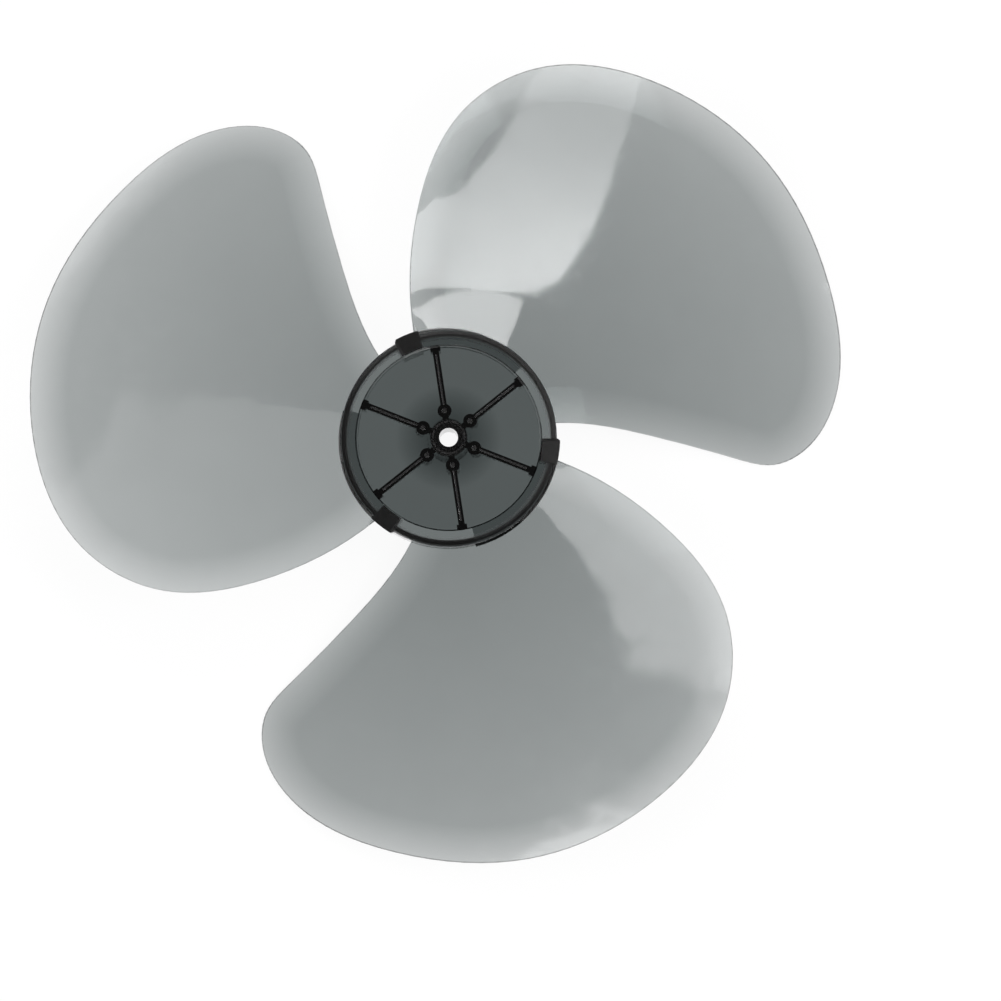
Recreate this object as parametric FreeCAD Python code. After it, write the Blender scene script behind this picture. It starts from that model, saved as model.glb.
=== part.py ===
import FreeCAD, Part
import math
import os

# One-piece moulded blade of a pedestal fan: three broad cambered leaves on a
# cup-shaped hub. +Z runs along the motor shaft towards the front of the fan,
# and the origin is where the shaft enters the boss, in the plane of the rear rim.
# Lengths are millimetres, angles are degrees counted anticlockwise from +X.

# Hub cup
HUB_HEIGHT = 28.5          # rear rim to front face
HUB_REAR_RADIUS = 47.6     # outside of the wall at the rear rim
WALL = 2.7
WALL_DRAFT = 0.7           # how far the wall leans in on its way to the ledge
LEDGE_DROP = 2.5           # front face down to the ledge that ends the wall
LEDGE_WIDTH = 6.5          # from the outside of the wall to the raised disc
LEDGE = 3.0                # thickness of the ledge
LEDGE_BEVEL = 1.8          # between ledge and wall
DISC = 4.0                 # thickness of the disc
DISC_BEVEL = 1.2           # between front face and disc edge
DISC_LAP = 1.2             # how far the disc reaches out over the ledge's inner edge

# Boss, with a raised seat for the cap nut and a slot for the shaft's cross pin
SHAFT_DIAMETER = 8.0
SHAFT_CLEARANCE = 0.06     # around the shaft, on the radius
BOSS_RADIUS = 8.2
SEAT_HEIGHT = 0.8          # raised ring on the front face
FLARE_RADIUS = 23.0        # where the disc starts to thicken towards the boss
FLARE_DEPTH = 1.6          # how much thicker it is at the boss
DRIVE_PIN_DIAMETER = 3.0   # cross pin in the motor shaft
DRIVE_PIN_CLEARANCE = 0.2  # each side of the pin
DRIVE_SLOT_DEPTH = 5.0     # from the rear end of the boss

# Ribs and round posts under the disc
RIB_COUNT = 6
RIB_FIRST_ANGLE = 38.0
RIB_ROOT_WIDTH = 2.8       # where the rib joins the disc
RIB_CREST_WIDTH = 2.2      # at the rib's free edge
RIB_DEPTH = 14.0           # below the disc
RIB_FOOT_WIDTH = 4.4       # thickened end of a rib
RIB_FOOT_LENGTH = 2.0      # along the rib
POST_RADIUS = 3.0
POST_CIRCLE_RADIUS = 11.9
POST_DEPTH = 16.0          # below the disc

# Leaves: form of the sheet, with heights counted from the hub's front face
LEAF_COUNT = 3
ROOT_STATION = 47.6        # radius where the root values hold
ROOT_EDGES = (7.2, 108.0)  # angles of the leading and trailing edges
ROOT_RISE = 22.0           # from leading to trailing edge, along the axis
ROOT_SETBACK = 14.0        # front face down to the middle of the leaf
OUTER_STATION = 140.0      # radius where the outer values hold
OUTER_EDGES = (-4.6, 87.4)
OUTER_RISE = 38.0
OUTER_SETBACK = 15.5
CAMBER = 0.30              # share of the rise that bends the leaf
ROOT_THICKNESS = 2.4
TIP_THICKNESS = 1.6
RIM_TAPER_WIDTH = 16.0     # band round the leaf that thins towards its edge
RIM_TAPER_DEPTH = 0.7
RIM_BEVEL_SHARE = 0.4      # share of the thinned edge that each bevel takes

# Leaves: plan outline as (radius, angle), from inside the hub up the leading
# edge, round the tip and back down the trailing edge
LEAF_OUTLINE = (
    (32.0, 9.5), (90.0, 0.9), (128.0, -3.95), (145.0, -4.55), (158.5, -1.8), (172.0, 5.2), (182.0, 22.0),
    (185.8, 40.3), (180.0, 59.0), (164.0, 76.4), (140.0, 87.4), (100.0, 97.1), (62.0, 105.0), (32.0, 111.0),
)

# Under each leaf's trailing half: a pad on the hub wall, a thicker stretch of
# ledge, and the lug through the wall where the trailing edge ends
PAD_PROUD = 0.6            # outside of the rear rim
PAD_SPAN = 64.0            # degrees from the trailing edge back along the leaf
PAD_DROP = 0.5             # below the leaf's front surface
SHELF_DEPTH = 2.0          # added under the ledge
LUG_OVERRUN = 11.0         # degrees past the trailing edge where the lug ends
LUG_LAP = 2.5              # degrees of leaf and pad that end inside the lug
LUG_DROP = 1.0             # front face down to the top of the lug
LUG_BEVEL = 1.0            # round the lug's free end

# Values worked out from those above
Z_AXIS = FreeCAD.Vector(0, 0, 1)
ORIGIN = FreeCAD.Vector(0, 0, 0)
CEILING = HUB_HEIGHT - DISC
BURIED = HUB_HEIGHT - DISC / 2  # inside the disc, where ribs and posts end
LEDGE_RADIUS = HUB_REAR_RADIUS - WALL_DRAFT
LEDGE_HEIGHT = HUB_HEIGHT - LEDGE_DROP
LEDGE_UNDERSIDE = LEDGE_HEIGHT - LEDGE
DISC_RADIUS = LEDGE_RADIUS - LEDGE_WIDTH
WELL_RADIUS = DISC_RADIUS - DISC_LAP  # inside of the ledge
RIB_END_RADIUS = DISC_RADIUS - DISC_LAP / 2  # in the disc's edge
PAD_RADIUS = HUB_REAR_RADIUS + PAD_PROUD
TIP_RADIUS = max(radius for radius, angle in LEAF_OUTLINE)
RIM_BEVEL = RIM_BEVEL_SHARE * (TIP_THICKNESS - RIM_TAPER_DEPTH)
REACH = HUB_HEIGHT + 2 * OUTER_RISE  # taller than any leaf


def polar(radius, angle, z=0.0):
    """Point at a radius, an angle in degrees and a height."""
    turn = math.radians(angle)
    return FreeCAD.Vector(radius * math.cos(turn), radius * math.sin(turn), z)


def turned(shape, angle):
    """Copy of a shape turned about the shaft axis."""
    copy = shape.copy()
    copy.rotate(ORIGIN, Z_AXIS, angle)
    return copy


def pattern(shape, count, first=0.0):
    """Copies of a shape spaced evenly about the shaft axis."""
    return [turned(shape, first + 360.0 * i / count) for i in range(count)]


def between(root, outer, radius):
    """Value at a radius, on the straight line through its root and outer values."""
    share = (radius - ROOT_STATION) / (OUTER_STATION - ROOT_STATION)
    return root + (outer - root) * share


def leaf_height(radius, angle):
    """Height of the leaf's front surface: a twisted sheet, hollow towards the front."""
    leading = between(ROOT_EDGES[0], OUTER_EDGES[0], radius)
    trailing = between(ROOT_EDGES[1], OUTER_EDGES[1], radius)
    chord = (angle - leading) / (trailing - leading) - 0.5
    bend = CAMBER * (chord ** 2 - 0.25)
    rise = between(ROOT_RISE, OUTER_RISE, radius)
    return HUB_HEIGHT - between(ROOT_SETBACK, OUTER_SETBACK, radius) + rise * (chord + bend)


def leaf_thickness(radius):
    """Thickness of the leaf, thinning evenly from the hub to the tip."""
    share = (radius - ROOT_STATION) / (TIP_RADIUS - ROOT_STATION)
    return ROOT_THICKNESS + (TIP_THICKNESS - ROOT_THICKNESS) * share


def leaf_sheet(drop):
    """Smooth face that follows the leaf's front surface, lowered by drop(radius)."""
    rows, columns, margin = 8, 11, 5.0
    inner = min(radius for radius, angle in LEAF_OUTLINE) - margin
    outer = TIP_RADIUS + margin
    first = min(angle for radius, angle in LEAF_OUTLINE) - margin
    last = ROOT_EDGES[1] + LUG_OVERRUN + margin
    grid = []
    for i in range(rows):
        radius = inner + (outer - inner) * i / (rows - 1)
        row = []
        for j in range(columns):
            angle = first + (last - first) * j / (columns - 1)
            row.append(polar(radius, angle, leaf_height(radius, angle) - drop(radius)))
        grid.append(row)
    surface = Part.BSplineSurface()
    surface.interpolate(grid)
    return surface.toShape()


def rim_edges(blade):
    """Edges that run round the free outline of a leaf, lowest first."""
    long = [edge for edge in blade.Edges if edge.Length > 2 * OUTER_STATION]
    return sorted(long, key=lambda edge: edge.CenterOfMass.z)


def leaf():
    """One leaf: the sheet cut to its outline, square to its middle, with a thinned and bevelled rim."""
    up = FreeCAD.Vector(0, 0, REACH)
    slope = OUTER_RISE / (OUTER_STATION * math.radians(OUTER_EDGES[1] - OUTER_EDGES[0]))
    lean = Z_AXIS - polar(slope, sum(OUTER_EDGES) / 2 + 90)
    rim = [polar(radius, angle, leaf_height(radius, angle)) for radius, angle in LEAF_OUTLINE]
    curve = Part.BSplineCurve()
    curve.interpolate([point - lean * (point.z + REACH / 2) for point in rim])
    closing = Part.makeLine(curve.EndPoint, curve.StartPoint)
    blank = Part.Face(Part.Wire([curve.toShape(), closing])).extrude(lean * REACH)
    above_rear = leaf_sheet(leaf_thickness).extrude(up)
    below_front = leaf_sheet(lambda radius: 0.0).extrude(-up)
    blade = blank.common(above_rear).common(below_front)
    blade = blade.makeChamfer(RIM_TAPER_DEPTH, RIM_TAPER_WIDTH, rim_edges(blade)[:1])
    return blade.makeChamfer(RIM_BEVEL, rim_edges(blade)[1:])


def sector(inner, outer, low, high, first, last):
    """Part of a ring between two radii, two heights and two angles."""
    drums = [Part.makeCylinder(r, high - low, polar(0, 0, low), Z_AXIS, last - first) for r in (outer, inner)]
    return turned(drums[0].cut(drums[1]), first)


def wall_pad():
    """Pad under the trailing half of one leaf, from the rear rim up to the leaf."""
    last = ROOT_EDGES[1] + LUG_LAP
    drum = sector(HUB_REAR_RADIUS - WALL, PAD_RADIUS, 0, HUB_HEIGHT, ROOT_EDGES[1] - PAD_SPAN, last)
    return drum.common(leaf_sheet(lambda radius: PAD_DROP).extrude(FreeCAD.Vector(0, 0, -REACH)))


def wing():
    """Leaf and wall pad together, trimmed half way through the hub wall."""
    return leaf().fuse(wall_pad()).cut(wall_form(WALL / 2, -HUB_HEIGHT, HUB_HEIGHT))


def ledge_shelf():
    """Thicker stretch of ledge above one wall pad."""
    last = ROOT_EDGES[1] + LUG_LAP
    low = LEDGE_UNDERSIDE - SHELF_DEPTH
    high = LEDGE_HEIGHT - LEDGE / 2
    return sector(WELL_RADIUS, LEDGE_RADIUS - WALL / 2, low, high, ROOT_EDGES[1] - PAD_SPAN, last)


def lug():
    """Lug at the end of one trailing edge, bevelled round its free end."""
    last = ROOT_EDGES[1] + LUG_OVERRUN
    block = sector(RIB_END_RADIUS, PAD_RADIUS, 0, HUB_HEIGHT - LUG_DROP, ROOT_EDGES[1] - LUG_LAP, last)
    end = turned(block, -last)
    free = [edge for edge in end.Edges if abs(edge.BoundBox.YMin) + abs(edge.BoundBox.YMax) < 0.01]
    shown = [edge for edge in free if edge.BoundBox.ZMax > LEDGE_HEIGHT and edge.BoundBox.XMax > LEDGE_RADIUS]
    return turned(end.makeChamfer(LUG_BEVEL, shown), last)


def revolved(points):
    """Solid of revolution from a closed profile of (radius, height) points."""
    wire = Part.makePolygon([FreeCAD.Vector(r, 0, z) for r, z in points + points[:1]])
    return Part.Face(wire).revolve(ORIGIN, Z_AXIS, 360)


def wall_radius(z):
    """Outside radius of the drafted wall at a height."""
    return HUB_REAR_RADIUS - WALL_DRAFT * z / LEDGE_HEIGHT


def wall_form(inset, low, high):
    """Solid with the wall's outside form between two heights, brought in by an inset."""
    return revolved([(0, low), (wall_radius(low) - inset, low), (wall_radius(high) - inset, high), (0, high)])


def bevel(radius, height, size):
    """Profile points of an outer edge that is bevelled in two steps, close to a rounding."""
    waist = size * (1 - math.sqrt(0.5))
    return [(radius, height - size), (radius - waist, height - waist), (radius - size, height)]


def hub_shell():
    """Cup of raised disc, ledge and wall, with its outer edges bevelled."""
    wall = [(0, 0), (HUB_REAR_RADIUS, 0)] + bevel(LEDGE_RADIUS, LEDGE_HEIGHT, LEDGE_BEVEL)
    disc = [(DISC_RADIUS, LEDGE_HEIGHT)] + bevel(DISC_RADIUS, HUB_HEIGHT, DISC_BEVEL) + [(0, HUB_HEIGHT)]
    well = revolved([
        (0, LEDGE_UNDERSIDE - LEDGE), (WELL_RADIUS, LEDGE_UNDERSIDE - LEDGE), (WELL_RADIUS, CEILING),
        (FLARE_RADIUS, CEILING), (BOSS_RADIUS, CEILING - FLARE_DEPTH), (0, CEILING - FLARE_DEPTH),
    ])
    return revolved(wall + disc).cut([wall_form(WALL, -DISC, LEDGE_UNDERSIDE), well])


def rib():
    """One rib with drafted sides, reaching from the boss to the disc's edge."""
    crest = CEILING - RIB_DEPTH
    half_root = RIB_ROOT_WIDTH / 2
    half_crest = RIB_CREST_WIDTH / 2
    section = [(-half_crest, crest), (half_crest, crest), (half_root, BURIED), (-half_root, BURIED)]
    wire = Part.makePolygon([FreeCAD.Vector(0, y, z) for y, z in section + section[:1]])
    return Part.Face(wire).extrude(FreeCAD.Vector(RIB_END_RADIUS, 0, 0))


def rib_foot():
    """Thickened end of one rib under the disc's edge."""
    corner = FreeCAD.Vector(RIB_END_RADIUS - RIB_FOOT_LENGTH, -RIB_FOOT_WIDTH / 2, CEILING - RIB_DEPTH)
    return Part.makeBox(RIB_FOOT_LENGTH, RIB_FOOT_WIDTH, BURIED - corner.z, corner)


def stiffeners():
    """Boss, ribs and posts inside the cup."""
    spot = FreeCAD.Vector(POST_CIRCLE_RADIUS, 0, CEILING - POST_DEPTH)
    post = Part.makeCylinder(POST_RADIUS, BURIED - spot.z, spot)
    boss = Part.makeCylinder(BOSS_RADIUS, BURIED)
    return boss.fuse(pattern(rib().fuse([rib_foot(), post]), RIB_COUNT, RIB_FIRST_ANGLE))


def hub_cup():
    """Hub with its stiffeners and the raised seat for the nut."""
    seat = Part.makeCylinder(BOSS_RADIUS, HUB_HEIGHT + SEAT_HEIGHT - BURIED, FreeCAD.Vector(0, 0, BURIED))
    return hub_shell().fuse([stiffeners(), seat]).removeSplitter()


def shaft_cuts():
    """Through bore for the shaft and the slot across the boss for its pin."""
    bore_radius = SHAFT_DIAMETER / 2 + SHAFT_CLEARANCE
    bore = Part.makeCylinder(bore_radius, 2 * REACH, FreeCAD.Vector(0, 0, -REACH))
    width = DRIVE_PIN_DIAMETER + 2 * DRIVE_PIN_CLEARANCE
    corner = FreeCAD.Vector(-BOSS_RADIUS, -width / 2, -DRIVE_SLOT_DEPTH)
    slot = Part.makeBox(2 * BOSS_RADIUS, width, 2 * DRIVE_SLOT_DEPTH, corner)
    return bore.fuse(turned(slot, RIB_FIRST_ANGLE))


def fan_blade():
    """The whole moulding as one solid."""
    roots = pattern(ledge_shelf(), LEAF_COUNT) + pattern(lug(), LEAF_COUNT)
    moulding = hub_cup().fuse(roots).fuse(pattern(wing(), LEAF_COUNT)).cut(shaft_cuts())
    return moulding.removeSplitter()


os.makedirs("parts", exist_ok=True)
fan_blade().exportStep("parts/fan_blade.step")
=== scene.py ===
"""Looks of a pedestal fan blade: polished smoke-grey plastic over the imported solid, on a pale studio floor."""

import logging
import math
from dataclasses import dataclass, field
from enum import Enum

import bpy
from mathutils import Matrix, Vector


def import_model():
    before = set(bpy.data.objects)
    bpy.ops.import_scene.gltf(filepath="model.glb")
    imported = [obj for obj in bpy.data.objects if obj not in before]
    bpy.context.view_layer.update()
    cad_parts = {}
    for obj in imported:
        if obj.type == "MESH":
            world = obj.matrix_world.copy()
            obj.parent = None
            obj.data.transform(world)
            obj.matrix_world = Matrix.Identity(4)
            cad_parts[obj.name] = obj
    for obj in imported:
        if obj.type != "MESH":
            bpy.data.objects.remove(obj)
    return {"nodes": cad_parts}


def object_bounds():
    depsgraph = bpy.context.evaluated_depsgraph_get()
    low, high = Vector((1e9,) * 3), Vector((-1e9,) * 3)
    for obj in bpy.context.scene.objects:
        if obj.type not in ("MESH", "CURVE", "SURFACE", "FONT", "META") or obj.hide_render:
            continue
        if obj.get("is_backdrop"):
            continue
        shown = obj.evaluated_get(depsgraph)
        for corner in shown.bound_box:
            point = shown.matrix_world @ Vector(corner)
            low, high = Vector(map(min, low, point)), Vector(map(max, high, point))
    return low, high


LOG = logging.getLogger("fan_blade")
MM = 0.001

Triple = tuple[float, float, float]


class Ray(Enum):
    """Kinds of ray that see the floor as plain white, named as the Light Path node names them."""

    CAMERA = "Is Camera Ray"
    GLOSSY = "Is Glossy Ray"
    TRANSMISSION = "Is Transmission Ray"


@dataclass(frozen=True)
class Noise:
    """One kind of smooth noise over the surface.

    Attributes:
        scale: Waves per metre.
        detail: Finer layers added to it.
        low: Noise that counts as none, where only its peaks are used.
        high: Noise that counts as full there.
    """

    scale: float
    detail: float
    low: float = 0.0
    high: float = 1.0


class NodeSheet:
    """Thin helper that adds nodes to one node tree and wires them up."""

    def __init__(self, tree: bpy.types.NodeTree) -> None:
        """Keep the tree to fill and empty it."""
        self.tree = tree
        tree.nodes.clear()

    def add(self, kind: str, **settings: object) -> bpy.types.Node:
        """Add a node and set its plain properties.

        Args:
            kind: Blender's name for the node type.
            settings: Properties of the node itself, such as operation.

        Returns:
            The new node.
        """
        node = self.tree.nodes.new(kind)
        for name, value in settings.items():
            setattr(node, name, value)
        return node

    def feed(self, socket: bpy.types.NodeSocket, value: object) -> None:
        """Link a socket to an output, or set its value.

        Args:
            socket: Input socket to drive.
            value: Output socket to link from, or a number or colour to set.
        """
        if isinstance(value, bpy.types.NodeSocket):
            self.tree.links.new(value, socket)
        else:
            socket.default_value = value

    def math(self, operation: str, first: object, second: object = 0.0, third: object = 0.0) -> bpy.types.NodeSocket:
        """Add a Math node.

        Args:
            operation: Name of the operation.
            first: First operand, a number or an output socket.
            second: Second operand.
            third: Third operand, for operations that have one.

        Returns:
            The node's output socket.
        """
        node = self.add("ShaderNodeMath", operation=operation)
        for socket, value in zip(node.inputs, (first, second, third)):
            self.feed(socket, value)
        return node.outputs[0]

    def ramp(self, value: object, start: float, end: float) -> bpy.types.NodeSocket:
        """Rise smoothly from 0 to 1.

        Args:
            value: Number to follow.
            start: Where the result is still 0.
            end: Where the result has reached 1, on either side of the start.

        Returns:
            The node's output socket.
        """
        node = self.add("ShaderNodeMapRange", interpolation_type="SMOOTHSTEP")
        for socket, setting in zip(node.inputs, (value, start, end, 0.0, 1.0)):
            self.feed(socket, setting)
        return node.outputs[0]

    def noise(self, place: bpy.types.NodeSocket, kind: Noise) -> bpy.types.NodeSocket:
        """Add smooth noise.

        Args:
            place: Position that the noise is fixed to.
            kind: Scale and detail of the noise.

        Returns:
            The noise, from 0 to 1.
        """
        node = self.add("ShaderNodeTexNoise")
        for name, value in (("Vector", place), ("Scale", kind.scale), ("Detail", kind.detail)):
            self.feed(node.inputs[name], value)
        return node.outputs[0]

    def peaks(self, place: bpy.types.NodeSocket, kind: Noise) -> bpy.types.NodeSocket:
        """Add noise that shows only in its peaks, from 0 to 1."""
        return self.ramp(self.noise(place, kind), kind.low, kind.high)


class Mark(Enum):
    """Places on the front of the hub where the surface differs from the polished plastic."""

    RIB = "rib"
    POST = "post"
    SEAT = "seat"
    RING = "ring"
    RIM = "rim"


@dataclass(frozen=True)
class HubMarks:
    """Marks on the front of the hub.

    They are lines over the ribs, dimples over the posts, the scraped nut seat and the rubbed rim with its lugs.

    Attributes:
        rib_count: Ribs behind the disc.
        first_rib: Angle of the first rib from +X, in degrees.
        rib_start: Distance from the axis where the line over a rib begins, in metres.
        rib_end: Distance from the axis where it ends, in metres.
        rib_half_width: Half width of the line, in metres.
        post_circle: Distance of the posts from the axis, in metres.
        post_radius: Radius of the dimple over a post, in metres.
        front: Height of the disc's front, in metres.
        seat_radius: Outer radius of the nut seat, in metres.
        ring_radius: Radius of the ring that the nut has rubbed into the seat, in metres.
        ring_half_width: Half width of that ring, in metres.
        rim_inner: Inner radius of the rubbed rim, in metres.
        rim_outer: Outer radius of the rubbed rim, in metres.
        rim_height: Height above which the rim is rubbed, in metres.
        lug_count: Lugs round the rim.
        first_lug: Angle of the first lug from +X, in degrees.
        lug_half_width: Half width of a lug, in metres.
        lug_inner: Distance from the axis where a lug begins, in metres.
        lug_outer: Distance from the axis where a lug ends, in metres.
        soft: Distance over which a mark fades out, in metres.
    """

    rib_count: int = 6
    first_rib: float = 38.0
    rib_start: float = 14.5 * MM
    rib_end: float = 36.0 * MM
    rib_half_width: float = 0.55 * MM
    post_circle: float = 11.9 * MM
    post_radius: float = 1.5 * MM
    front: float = 28.5 * MM
    seat_radius: float = 8.2 * MM
    ring_radius: float = 6.9 * MM
    ring_half_width: float = 0.6 * MM
    rim_inner: float = 43.4 * MM
    rim_outer: float = 48.0 * MM
    rim_height: float = 16.0 * MM
    lug_count: int = 3
    first_lug: float = -7.2
    lug_half_width: float = 5.6 * MM
    lug_inner: float = 40.6 * MM
    lug_outer: float = 50.5 * MM
    soft: float = 0.4 * MM

    def masks(self, sheet: NodeSheet, place: bpy.types.NodeSocket) -> dict[Mark, bpy.types.NodeSocket]:
        """Find each mark from the position on the blade.

        Args:
            sheet: Node tree to add to.
            place: Position in the blade's own frame.

        Returns:
            A mask from 0 to 1 for each mark.
        """
        split = sheet.add("ShaderNodeSeparateXYZ")
        sheet.feed(split.inputs[0], place)
        x, y, z = split.outputs
        radius = sheet.math("SQRT", sheet.math("MULTIPLY_ADD", x, x, sheet.math("MULTIPLY", y, y)))
        angle = sheet.math("ARCTAN2", y, x)
        along, across = self.fold(sheet, radius, angle, self.rib_count, self.first_rib)
        lug_along, lug_across = self.fold(sheet, radius, angle, self.lug_count, self.first_lug)
        from_post = sheet.math("SUBTRACT", along, self.post_circle)
        post = sheet.math("MULTIPLY_ADD", from_post, from_post, sheet.math("MULTIPLY", across, across))
        span = self.between(sheet, along, self.rib_start, self.rib_end)
        lug = sheet.math(
            "MULTIPLY",
            self.between(sheet, lug_along, self.lug_inner, self.lug_outer),
            sheet.ramp(lug_across, self.lug_half_width + self.soft, self.lug_half_width),
        )
        rim = sheet.math("MAXIMUM", lug, self.between(sheet, radius, self.rim_inner, self.rim_outer))
        front = sheet.ramp(z, self.front - self.soft, self.front - self.soft / 2)
        line = sheet.math("MULTIPLY", span, sheet.ramp(across, self.rib_half_width, self.rib_half_width - self.soft))
        dimple = sheet.ramp(sheet.math("SQRT", post), self.post_radius, self.post_radius - 2 * self.soft)
        from_ring = sheet.math("ABSOLUTE", sheet.math("SUBTRACT", radius, self.ring_radius))
        ring = sheet.ramp(from_ring, self.ring_half_width, self.ring_half_width - self.soft)
        seat = sheet.ramp(radius, self.seat_radius, self.seat_radius - self.soft)
        return {
            Mark.RIB: sheet.math("MULTIPLY", front, line),
            Mark.POST: sheet.math("MULTIPLY", front, dimple),
            Mark.SEAT: sheet.math("MULTIPLY", front, seat),
            Mark.RING: sheet.math("MULTIPLY", front, ring),
            Mark.RIM: sheet.math("MULTIPLY", rim, sheet.ramp(z, self.rim_height - self.soft, self.rim_height)),
        }

    def fold(
        self, sheet: NodeSheet, radius: bpy.types.NodeSocket, angle: bpy.types.NodeSocket, count: int, first: float
    ) -> tuple[bpy.types.NodeSocket, bpy.types.NodeSocket]:
        """Fold the hub so that all marks of a ring of equal ones lie on one another.

        Args:
            sheet: Node tree to add to.
            radius: Distance from the axis.
            angle: Angle from +X.
            count: How many marks stand round the axis.
            first: Angle of the first one, in degrees.

        Returns:
            Distance from the axis along the nearest mark, and distance from its middle line.
        """
        half = math.pi / count
        folded = sheet.math("WRAP", sheet.math("SUBTRACT", angle, math.radians(first)), half, -half)
        across = sheet.math("MULTIPLY", radius, sheet.math("SINE", folded))
        return sheet.math("MULTIPLY", radius, sheet.math("COSINE", folded)), sheet.math("ABSOLUTE", across)

    def between(
        self, sheet: NodeSheet, value: bpy.types.NodeSocket, start: float, end: float
    ) -> bpy.types.NodeSocket:
        """Give 1 from the start to the end of a stretch and 0 outside it, with soft ends."""
        rise, fall = sheet.ramp(value, start - self.soft, start), sheet.ramp(value, end + self.soft, end)
        return sheet.math("MULTIPLY", rise, fall)


@dataclass(frozen=True)
class SmokePlastic:
    """Polished clear plastic with a smoke-grey body colour.

    Attributes:
        ior: Refractive index of the styrene copolymer.
        absorption: Absorption per metre where the tint is black.
        tint: Share of each colour that the body lets through untouched.
        roughness: Surface roughness of the polished mould.
        scuff: Roughness that fine handling marks add at most.
        frost: Roughness of each mark on the hub.
        grained: Marks whose frost is broken up by grain.
        sink: Depth of each mark on the hub, in metres.
        wave: Height of the slow waves that cooling leaves in the leaves, in metres.
        streak: How far flow streaks dull the clear surface, as a share.
        marks: Places of the marks on the hub.
        streak_noise: Pattern of the flow streaks.
        scuff_noise: Pattern of the handling marks.
        grain_noise: Grain of the frost on the nut seat.
        wave_noise: Pattern of the slow waves.
        scrape_noise: Pattern of the scrapes in the nut seat.
    """

    ior: float = 1.57
    absorption: float = 570.0
    tint: Triple = (0.0, 0.06, 0.06)
    roughness: float = 0.03
    scuff: float = 0.03
    frost: tuple[tuple[Mark, float], ...] = (
        (Mark.RIB, 0.62), (Mark.POST, 0.38), (Mark.SEAT, 0.25), (Mark.RING, 0.7), (Mark.RIM, 0.3)
    )
    grained: tuple[Mark, ...] = (Mark.SEAT, Mark.RING)
    sink: tuple[tuple[Mark, float], ...] = ((Mark.RIB, 0.05 * MM), (Mark.POST, 0.08 * MM), (Mark.SEAT, 0.05 * MM))
    wave: float = 0.04 * MM
    streak: float = 0.05
    marks: HubMarks = field(default_factory=HubMarks)
    streak_noise: Noise = Noise(45.0, 4.0)
    scuff_noise: Noise = Noise(160.0, 5.0, 0.5, 0.75)
    grain_noise: Noise = Noise(1300.0, 3.0, 0.35, 0.6)
    wave_noise: Noise = Noise(28.0, 1.0)
    scrape_noise: Noise = Noise(1600.0, 3.0)

    def material(self) -> bpy.types.Material:
        """Build the material.

        Returns:
            Material with a clear shader on the surface and absorption in the volume.
        """
        material = bpy.data.materials.new("smoke_plastic")
        material.use_nodes = True
        sheet = NodeSheet(material.node_tree)
        output = sheet.add("ShaderNodeOutputMaterial")
        shader = sheet.add("ShaderNodeBsdfPrincipled")
        place = sheet.add("ShaderNodeTexCoord").outputs["Object"]
        masks = self.marks.masks(sheet, place)
        sheet.feed(shader.inputs["Base Color"], self.streaks(sheet, place))
        sheet.feed(shader.inputs["Roughness"], self.scuffs(sheet, place, masks))
        sheet.feed(shader.inputs["Normal"], self.relief(sheet, place, masks))
        sheet.feed(shader.inputs["IOR"], self.ior)
        sheet.feed(shader.inputs["Transmission Weight"], 1.0)
        body = sheet.add("ShaderNodeVolumeAbsorption")
        sheet.feed(body.inputs["Color"], (*self.tint, 1.0))
        sheet.feed(body.inputs["Density"], self.absorption)
        sheet.feed(output.inputs["Surface"], shader.outputs[0])
        sheet.feed(output.inputs["Volume"], body.outputs[0])
        return material

    def streaks(self, sheet: NodeSheet, place: bpy.types.NodeSocket) -> bpy.types.NodeSocket:
        """Dull the clear surface a little along faint flow streaks.

        Args:
            sheet: Node tree to add to.
            place: Position in the blade's own frame.

        Returns:
            Colour of the clear surface.
        """
        mix = sheet.add("ShaderNodeMix", data_type="RGBA")
        sheet.feed(mix.inputs["Factor"], sheet.noise(place, self.streak_noise))
        tones = [socket for socket in mix.inputs if socket.type == "RGBA"]
        for socket, tone in zip(tones, (1.0, 1.0 - self.streak)):
            sheet.feed(socket, (tone, tone, tone, 1.0))
        return next(socket for socket in mix.outputs if socket.type == "RGBA")

    def scuffs(
        self, sheet: NodeSheet, place: bpy.types.NodeSocket, masks: dict[Mark, bpy.types.NodeSocket]
    ) -> bpy.types.NodeSocket:
        """Roughen the polish with handling marks and frost the marks on the hub.

        Args:
            sheet: Node tree to add to.
            place: Position in the blade's own frame.
            masks: Mask of each mark on the hub.

        Returns:
            Roughness of the surface.
        """
        worn = sheet.peaks(place, self.scuff_noise)
        grain = sheet.peaks(place, self.grain_noise)
        rough = sheet.math("MULTIPLY_ADD", worn, self.scuff, self.roughness)
        for mark, frost in self.frost:
            frosted = masks[mark]
            if mark in self.grained:
                frosted = sheet.math("MULTIPLY", frosted, grain)
            rough = sheet.math("MAXIMUM", rough, sheet.math("MULTIPLY", frosted, frost))
        return rough

    def relief(
        self, sheet: NodeSheet, place: bpy.types.NodeSocket, masks: dict[Mark, bpy.types.NodeSocket]
    ) -> bpy.types.NodeSocket:
        """Wave the leaves, sink the marks over ribs and posts and scrape the nut seat.

        Args:
            sheet: Node tree to add to.
            place: Position in the blade's own frame.
            masks: Mask of each mark on the hub.

        Returns:
            Normal of the surface.
        """
        height = sheet.math("MULTIPLY", sheet.noise(place, self.wave_noise), self.wave)
        for mark, depth in self.sink:
            sunk = masks[mark]
            if mark is Mark.SEAT:
                sunk = sheet.math("MULTIPLY", sunk, sheet.noise(place, self.scrape_noise))
            height = sheet.math("MULTIPLY_ADD", sunk, -depth, height)
        bump = sheet.add("ShaderNodeBump")
        sheet.feed(bump.inputs["Distance"], 1.0)
        sheet.feed(bump.inputs["Height"], height)
        return bump.outputs[0]


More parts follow.
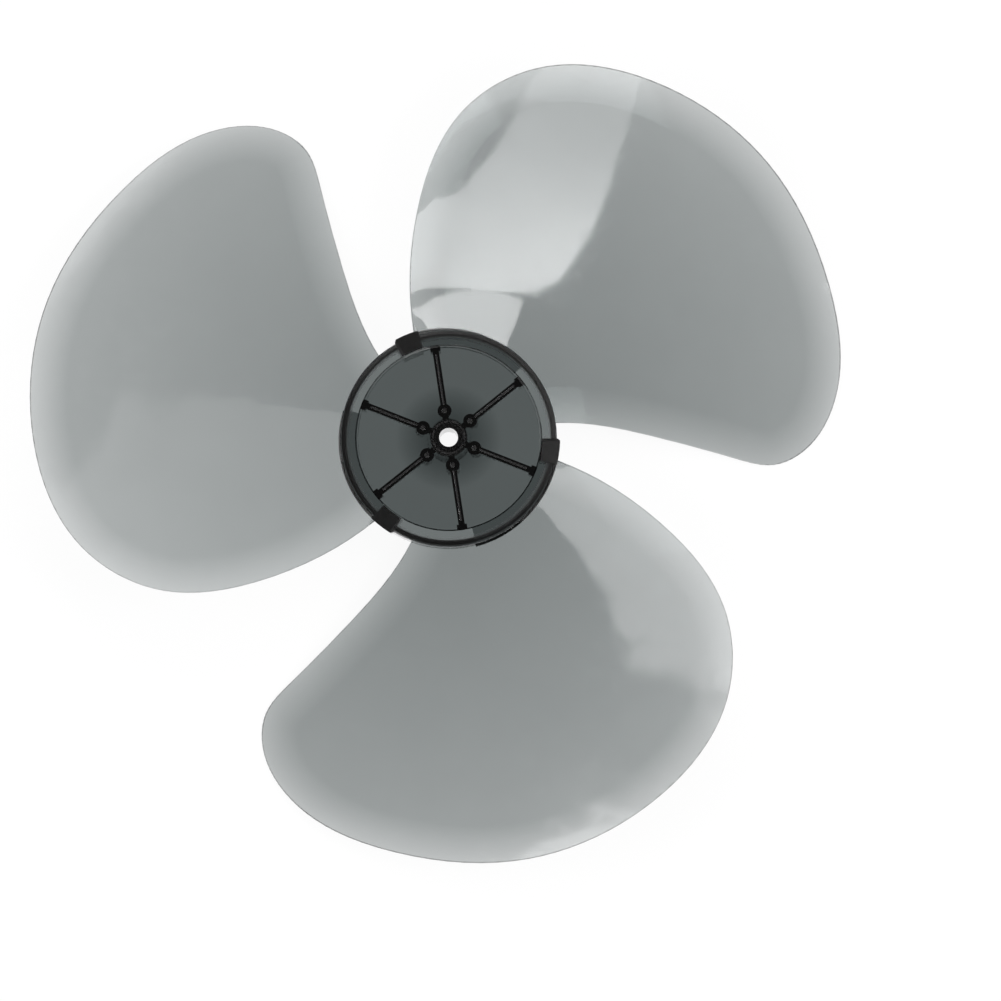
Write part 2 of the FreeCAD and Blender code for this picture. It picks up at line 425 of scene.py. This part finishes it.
@dataclass(frozen=True)
class PaleFloor:
    """White sweep under the blade.

    Attributes:
        albedo: Diffuse colour of the sweep.
        plain_share: How much of the white comes without shading, so that the shadow stays faint.
    """

    albedo: float = 0.92
    plain_share: float = 0.93

    def material(self) -> bpy.types.Material:
        """Build the material.

        Returns:
            Diffuse white, mixed with plain white for the rays that see the floor as a background.
        """
        material = bpy.data.materials.new("pale_floor")
        material.use_nodes = True
        sheet = NodeSheet(material.node_tree)
        output = sheet.add("ShaderNodeOutputMaterial")
        diffuse = sheet.add("ShaderNodeBsdfDiffuse")
        sheet.feed(diffuse.inputs["Color"], (self.albedo, self.albedo, self.albedo, 1.0))
        plain = sheet.add("ShaderNodeEmission")
        path = sheet.add("ShaderNodeLightPath")
        seen: object = 0.0
        for ray in Ray:
            seen = sheet.math("MAXIMUM", seen, path.outputs[ray.value])
        mix = sheet.add("ShaderNodeMixShader")
        sheet.feed(mix.inputs[0], sheet.math("MULTIPLY", seen, self.plain_share))
        sheet.feed(mix.inputs[1], diffuse.outputs[0])
        sheet.feed(mix.inputs[2], plain.outputs[0])
        sheet.feed(output.inputs["Surface"], mix.outputs[0])
        return material


@dataclass
class FanBlade:
    """The moulded blade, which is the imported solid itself.

    Attributes:
        node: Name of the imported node.
        finish: Plastic that the blade is moulded in.
    """

    node: str = "fan_blade"
    finish: SmokePlastic = field(default_factory=SmokePlastic)

    def dress(self, nodes: dict[str, bpy.types.Object]) -> bpy.types.Object:
        """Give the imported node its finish.

        Args:
            nodes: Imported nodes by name.

        Returns:
            The dressed object.
        """
        blade = nodes[self.node]
        blade.data.materials.clear()
        blade.data.materials.append(self.finish.material())
        return blade


@dataclass(frozen=True)
class Softbox:
    """One rectangular studio light that points at the blade.

    Attributes:
        name: Name of the lamp.
        azimuth: Direction from the blade, in degrees from +X.
        zenith: Angle from straight up, in degrees.
        width: Size across, in metres.
        height: Size along, in metres.
        turn: Rotation of the rectangle about its own axis, in degrees.
        radiance: Brightness at the start of its length, where 1 is paper white.
        distance: Distance from the blade, in metres.
        far_share: Brightness at the far end of its length, as a share of the radiance.
        change: Where along its length the brightness begins and ends to change, as shares of it.
        mirrored: Whether the plastic shows it in reflections, or only the floor takes its light.
    """

    name: str
    azimuth: float
    zenith: float
    width: float
    height: float
    turn: float
    radiance: float
    distance: float = 2.5
    far_share: float = 1.0
    change: tuple[float, float] = (0.0, 1.0)
    mirrored: bool = True

    def build(self) -> bpy.types.Object:
        """Place the lamp.

        Returns:
            The lamp object.
        """
        lamp = bpy.data.lights.new(self.name, "AREA")
        lamp.shape = "RECTANGLE"
        lamp.size = self.width
        lamp.size_y = self.height
        lamp.energy = self.radiance * math.pi * self.width * self.height
        if self.far_share != 1.0:
            self.grade(lamp)
        out = Vector((0.0, 0.0, 1.0))
        out.rotate(Matrix.Rotation(math.radians(self.zenith), 3, "Y"))
        out.rotate(Matrix.Rotation(math.radians(self.azimuth), 3, "Z"))
        placed = bpy.data.objects.new(self.name, lamp)
        facing = out.to_track_quat("Z", "Y").to_matrix() @ Matrix.Rotation(math.radians(self.turn), 3, "Z")
        placed.matrix_world = Matrix.Translation(out * self.distance) @ facing.to_4x4()
        placed.visible_camera = False
        placed.visible_glossy = placed.visible_transmission = self.mirrored
        bpy.context.scene.collection.objects.link(placed)
        return placed

    def grade(self, lamp: bpy.types.AreaLight) -> None:
        """Let the brightness change along the lamp.

        Args:
            lamp: Lamp to grade.
        """
        lamp.use_nodes = True
        sheet = NodeSheet(lamp.node_tree)
        output = sheet.add("ShaderNodeOutputLight")
        glow = sheet.add("ShaderNodeEmission")
        split = sheet.add("ShaderNodeSeparateXYZ")
        sheet.feed(split.inputs[0], sheet.add("ShaderNodeNewGeometry").outputs["Parametric"])
        passed = sheet.ramp(split.outputs["Y"], *self.change)
        share = sheet.math("MULTIPLY_ADD", passed, self.far_share - 1.0, 1.0)
        sheet.feed(glow.inputs["Strength"], share)
        sheet.feed(output.inputs["Surface"], glow.outputs[0])


@dataclass
class Studio:
    """Floor, surroundings and lamps.

    Attributes:
        floor_size: Side of the square floor, in metres.
        floor: Finish of the floor.
        horizon: Brightness of the surroundings near the horizon.
        ceiling: Brightness of the surroundings overhead.
        darkening: Height in the sky where the horizon begins to darken and where it has become the ceiling,
            as the upward part of the direction.
        glow: Brightness overhead on the side where the room is lighter.
        glow_azimuth: Direction of that side, in degrees from +X.
        glow_reach: Where that side begins and where it is fully light, as the part of the direction towards it.
        lamps: Softboxes round the blade.
    """

    floor_size: float = 12.0
    floor: PaleFloor = field(default_factory=PaleFloor)
    horizon: float = 1.0
    ceiling: float = 0.12
    darkening: tuple[float, float] = (0.15, 0.7)
    glow: float = 0.85
    glow_azimuth: float = 70.0
    glow_reach: tuple[float, float] = (0.05, 0.33)
    lamps: tuple[Softbox, ...] = (
        Softbox("strip_right", 13.4, 25.1, 0.027, 0.228, 65.3, 1.7, 0.30, 4.5, (0.2, 0.5)),
        Softbox("panel_right", -5.58, 32.0, 0.114, 0.180, 47.0, 6.2, 0.764),
        Softbox("panel_lower", -126.6, 28.0, 0.192, 0.086, 89.3, 3.0, 0.684),
        Softbox("panel_upper", 115.7, 34.6, 0.451, 0.646, -51.9, 1.0, 0.998),
        Softbox("fill_east", 0.0, 55.0, 1.3, 1.3, 0.0, 4.2, mirrored=False),
        Softbox("fill_north", 90.0, 55.0, 1.3, 1.3, 0.0, 4.2, mirrored=False),
        Softbox("fill_west", 180.0, 55.0, 1.3, 1.3, 0.0, 4.2, mirrored=False),
        Softbox("fill_south", 270.0, 55.0, 1.3, 1.3, 0.0, 4.2, mirrored=False),
    )

    def build_floor(self, level: float) -> bpy.types.Object:
        """Lay the floor at the height where the blade rests.

        Args:
            level: Height of the floor, in metres.

        Returns:
            The floor object.
        """
        half = self.floor_size / 2
        mesh = bpy.data.meshes.new("floor")
        corners = [(-half, -half, level), (half, -half, level), (half, half, level), (-half, half, level)]
        mesh.from_pydata(corners, [], [(0, 1, 2, 3)])
        mesh.materials.append(self.floor.material())
        floor = bpy.data.objects.new("floor", mesh)
        bpy.context.scene.collection.objects.link(floor)
        floor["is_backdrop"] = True
        return floor

    def build_surroundings(self) -> None:
        """Fill the world with a white horizon that darkens overhead, less so on one side."""
        world = bpy.data.worlds.new("studio")
        world.use_nodes = True
        sheet = NodeSheet(world.node_tree)
        output = sheet.add("ShaderNodeOutputWorld")
        background = sheet.add("ShaderNodeBackground")
        place = sheet.add("ShaderNodeTexCoord")
        split = sheet.add("ShaderNodeSeparateXYZ")
        sheet.feed(split.inputs[0], place.outputs["Generated"])
        fall = sheet.add("ShaderNodeMapRange", interpolation_type="SMOOTHSTEP")
        for socket, value in zip(fall.inputs, (split.outputs["Z"], *self.darkening, self.horizon, self.ceiling)):
            sheet.feed(socket, value)
        heading = math.radians(self.glow_azimuth)
        toward = sheet.add("ShaderNodeVectorMath", operation="DOT_PRODUCT")
        sheet.feed(toward.inputs[0], place.outputs["Generated"])
        sheet.feed(toward.inputs[1], (math.cos(heading), math.sin(heading), 0.0))
        side = sheet.math("MULTIPLY", sheet.ramp(toward.outputs["Value"], *self.glow_reach), self.glow)
        sheet.feed(background.inputs["Strength"], sheet.math("MAXIMUM", fall.outputs[0], side))
        sheet.feed(output.inputs["Surface"], background.outputs[0])
        bpy.context.scene.world = world

    def build(self, level: float) -> None:
        """Build the floor, the surroundings and the lamps.

        Args:
            level: Height of the floor, in metres.
        """
        LOG.info("floor %s", self.build_floor(level).name)
        self.build_surroundings()
        for lamp in self.lamps:
            LOG.info("lamp %s", lamp.build().name)


@dataclass(frozen=True)
class FrontCamera:
    """Camera in front of the hub, almost on the shaft axis.

    Attributes:
        aim_height: Height of the point that the distance is counted from, in millimetres.
        offset: Shift of the camera across its own view and its distance, in millimetres.
        tilt: Rotations about x, y and z that bring the blade's frame to the camera's, in degrees.
        focal_pixels: Focal length in pixels of the square image.
        image_pixels: Side of the square image.
        sensor: Width of the sensor, in millimetres.
    """

    aim_height: float = 28.5
    offset: Triple = (22.37, -27.20, 1200.0)
    tilt: Triple = (-2.173, 0.816, 0.564)
    focal_pixels: float = 2782.7
    image_pixels: int = 1001
    sensor: float = 36.0

    def build(self) -> bpy.types.Object:
        """Place the camera and make it the scene's own.

        Returns:
            The camera object.
        """
        lens = bpy.data.cameras.new("front_camera")
        lens.sensor_width = self.sensor
        lens.lens = self.sensor * self.focal_pixels / self.image_pixels
        about_x, about_y, about_z = (
            Matrix.Rotation(math.radians(angle), 3, axis) for angle, axis in zip(self.tilt, "XYZ")
        )
        to_frame = (about_y @ about_x @ about_z).transposed()
        spot = (to_frame @ Vector(self.offset) + Vector((0.0, 0.0, self.aim_height))) * MM
        camera = bpy.data.objects.new("front_camera", lens)
        camera.matrix_world = Matrix.Translation(spot) @ to_frame.to_4x4()
        bpy.context.scene.collection.objects.link(camera)
        bpy.context.scene.camera = camera
        return camera


def main() -> None:
    """Dress the blade, build the studio and place the camera."""
    logging.basicConfig(level=logging.INFO, format="%(name)s: %(message)s")
    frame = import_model()
    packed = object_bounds()
    bpy.context.scene.view_settings.view_transform = "Standard"
    LOG.info("piece %s", FanBlade().dress(frame["nodes"]).name)
    Studio().build(packed[0].z)
    LOG.info("camera %s", FrontCamera().build().name)


if __name__ == "__main__":
    main()
